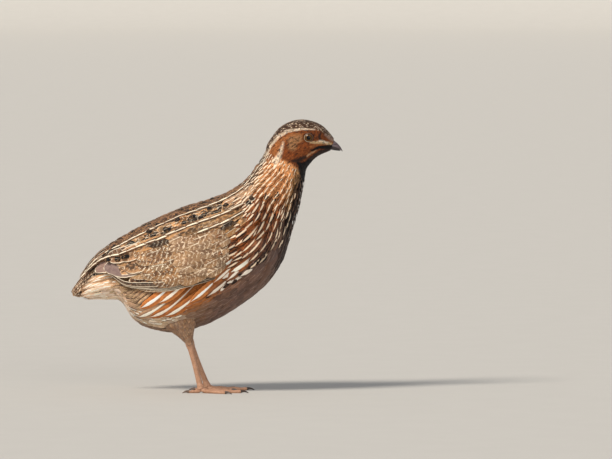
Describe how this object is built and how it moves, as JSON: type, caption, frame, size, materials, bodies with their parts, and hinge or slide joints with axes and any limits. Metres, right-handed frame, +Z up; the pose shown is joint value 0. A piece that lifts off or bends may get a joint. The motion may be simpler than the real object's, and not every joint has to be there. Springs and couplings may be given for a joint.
{
  "type": "coturnix quail",
  "caption": "Life-size standing quail with stretched neck, folded wings in feather tiers, short tail, stout bill and bare legs.",
  "frame": {"origin": "centre of the bounding box on the floor the feet stand on", "axes": "+X from tail to bill, +Y to the bird's left, +Z up"},
  "size_m": [0.1496, 0.0596, 0.1499],
  "materials": {
    "body_feathers": "soft barbed feathers, chestnut and buff with cream shaft streaks",
    "neck_feathers": "narrow orange-brown feathers with cream shaft streaks",
    "head_feathers": "very short velvety feathers, dark crown, cream brow, rufous cheek",
    "wing_feathers": "sandy brown vanes with fine cream bars and shafts",
    "tail_feathers": "brown vanes barred cream",
    "thigh_feathers": "soft buff feathers",
    "bill_horn": "dark horn, faintly glossy",
    "eye": "wet gloss, olive-brown iris round a black pupil",
    "leg_scales": "pale flesh scales",
    "claw_horn": "brown horn"
  },
  "bodies": {
    "root": {"bill_lower": "bill_horn", "bill_upper": "bill_horn", "claw_left_hind": "claw_horn", "claw_left_inner": "claw_horn", "claw_left_middle": "claw_horn", "claw_left_outer": "claw_horn", "claw_right_hind": "claw_horn", "claw_right_inner": "claw_horn", "claw_right_middle": "claw_horn", "claw_right_outer": "claw_horn", "eye_left": "eye", "eye_right": "eye", "foot_left": "leg_scales", "foot_right": "leg_scales", "head": "head_feathers", "neck": "neck_feathers", "tail": "tail_feathers", "tarsus_left": "leg_scales", "tarsus_right": "leg_scales", "thigh_left": "thigh_feathers", "thigh_right": "thigh_feathers", "torso": "body_feathers", "wing_left": "wing_feathers", "wing_right": "wing_feathers"}
  },
  "joints": []
}
